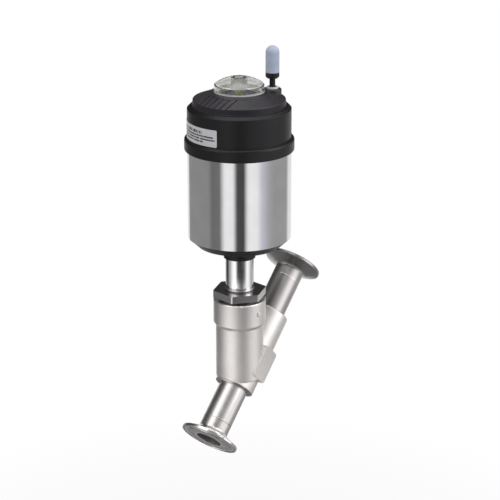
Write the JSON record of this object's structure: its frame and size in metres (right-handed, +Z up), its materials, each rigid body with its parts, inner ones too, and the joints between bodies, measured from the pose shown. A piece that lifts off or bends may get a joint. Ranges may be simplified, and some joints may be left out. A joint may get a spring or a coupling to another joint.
{
  "type": "angle seat valve",
  "caption": "Pneumatic angle seat valve with a round piston actuator, clear position indicator, exhaust silencer and clamp ferrule ends.",
  "frame": {"origin": "centre of the inlet ferrule's sealing face, at the lower end of the pipe", "axes": "+Z up along the actuator's spindle; the pipe runs in the XZ plane from the origin towards +X and +Z at 45 degrees"},
  "size_m": [0.1605, 0.0918, 0.3512],
  "materials": {
    "cast_steel": "bead blasted casting",
    "polished_steel": "polished",
    "machined_steel": "turned",
    "ptfe": "smooth white",
    "bronze": "turned",
    "black_plastic": "fine matt moulding",
    "rubber": "smooth",
    "label": "printed foil with plain bars",
    "clear_plastic": "clear",
    "white_plastic": "smooth",
    "porous_plastic": "porous",
    "aluminium": "turned",
    "yellow_plastic": "smooth"
  },
  "bodies": {
    "valve": {"valve_body": "cast_steel", "inlet_tube": "polished_steel", "inlet_ferrule": "polished_steel", "outlet_tube": "polished_steel", "outlet_ferrule": "polished_steel", "bonnet_nut": "polished_steel", "neck_tube": "polished_steel", "packing_support_ring": "machined_steel", "packing_disc_springs": "machined_steel", "packing_pressure_ring": "machined_steel", "gland_nut": "machined_steel", "neck_snap_ring": "machined_steel", "bonnet_gasket": "ptfe", "packing_v_rings": "ptfe", "gland_bush": "bronze"},
    "actuator": {"cylinder_shell": "polished_steel", "lower_cover": "black_plastic", "actuator_housing": "black_plastic", "top_cover": "black_plastic", "silencer_body": "black_plastic", "rod_guide": "machined_steel", "return_spring": "machined_steel", "rod_bush": "bronze", "neck_seal": "rubber", "lower_cover_seal": "rubber", "rod_seal": "rubber", "top_cover_seal": "rubber", "dome_seal": "rubber", "rating_label": "label", "indicator_dome": "clear_plastic", "silencer_washer": "white_plastic", "silencer_element": "porous_plastic"},
    "stem": {"spindle": "machined_steel", "plug_disc": "machined_steel", "plug_retainer": "machined_steel", "plug_pin": "machined_steel", "piston_nut": "machined_steel", "piston": "aluminium", "piston_seal": "rubber", "seat_seal": "ptfe", "piston_guide_ring": "ptfe", "indicator_tip": "yellow_plastic"}
  },
  "joints": [
    {"name": "actuator_turn", "type": "hinge", "parent": "valve", "child": "actuator", "pos_m": [0.0449, 0, 0.1549], "axis": [0, 0, 1], "continuous": true},
    {"name": "stem_lift", "type": "slide", "parent": "actuator", "child": "stem", "axis": [0, 0, 1], "range_m": [0, 0.01], "stiffness_N_per_m": 3000, "springref_m": -0.02, "deforming": ["return_spring"]}
  ]
}
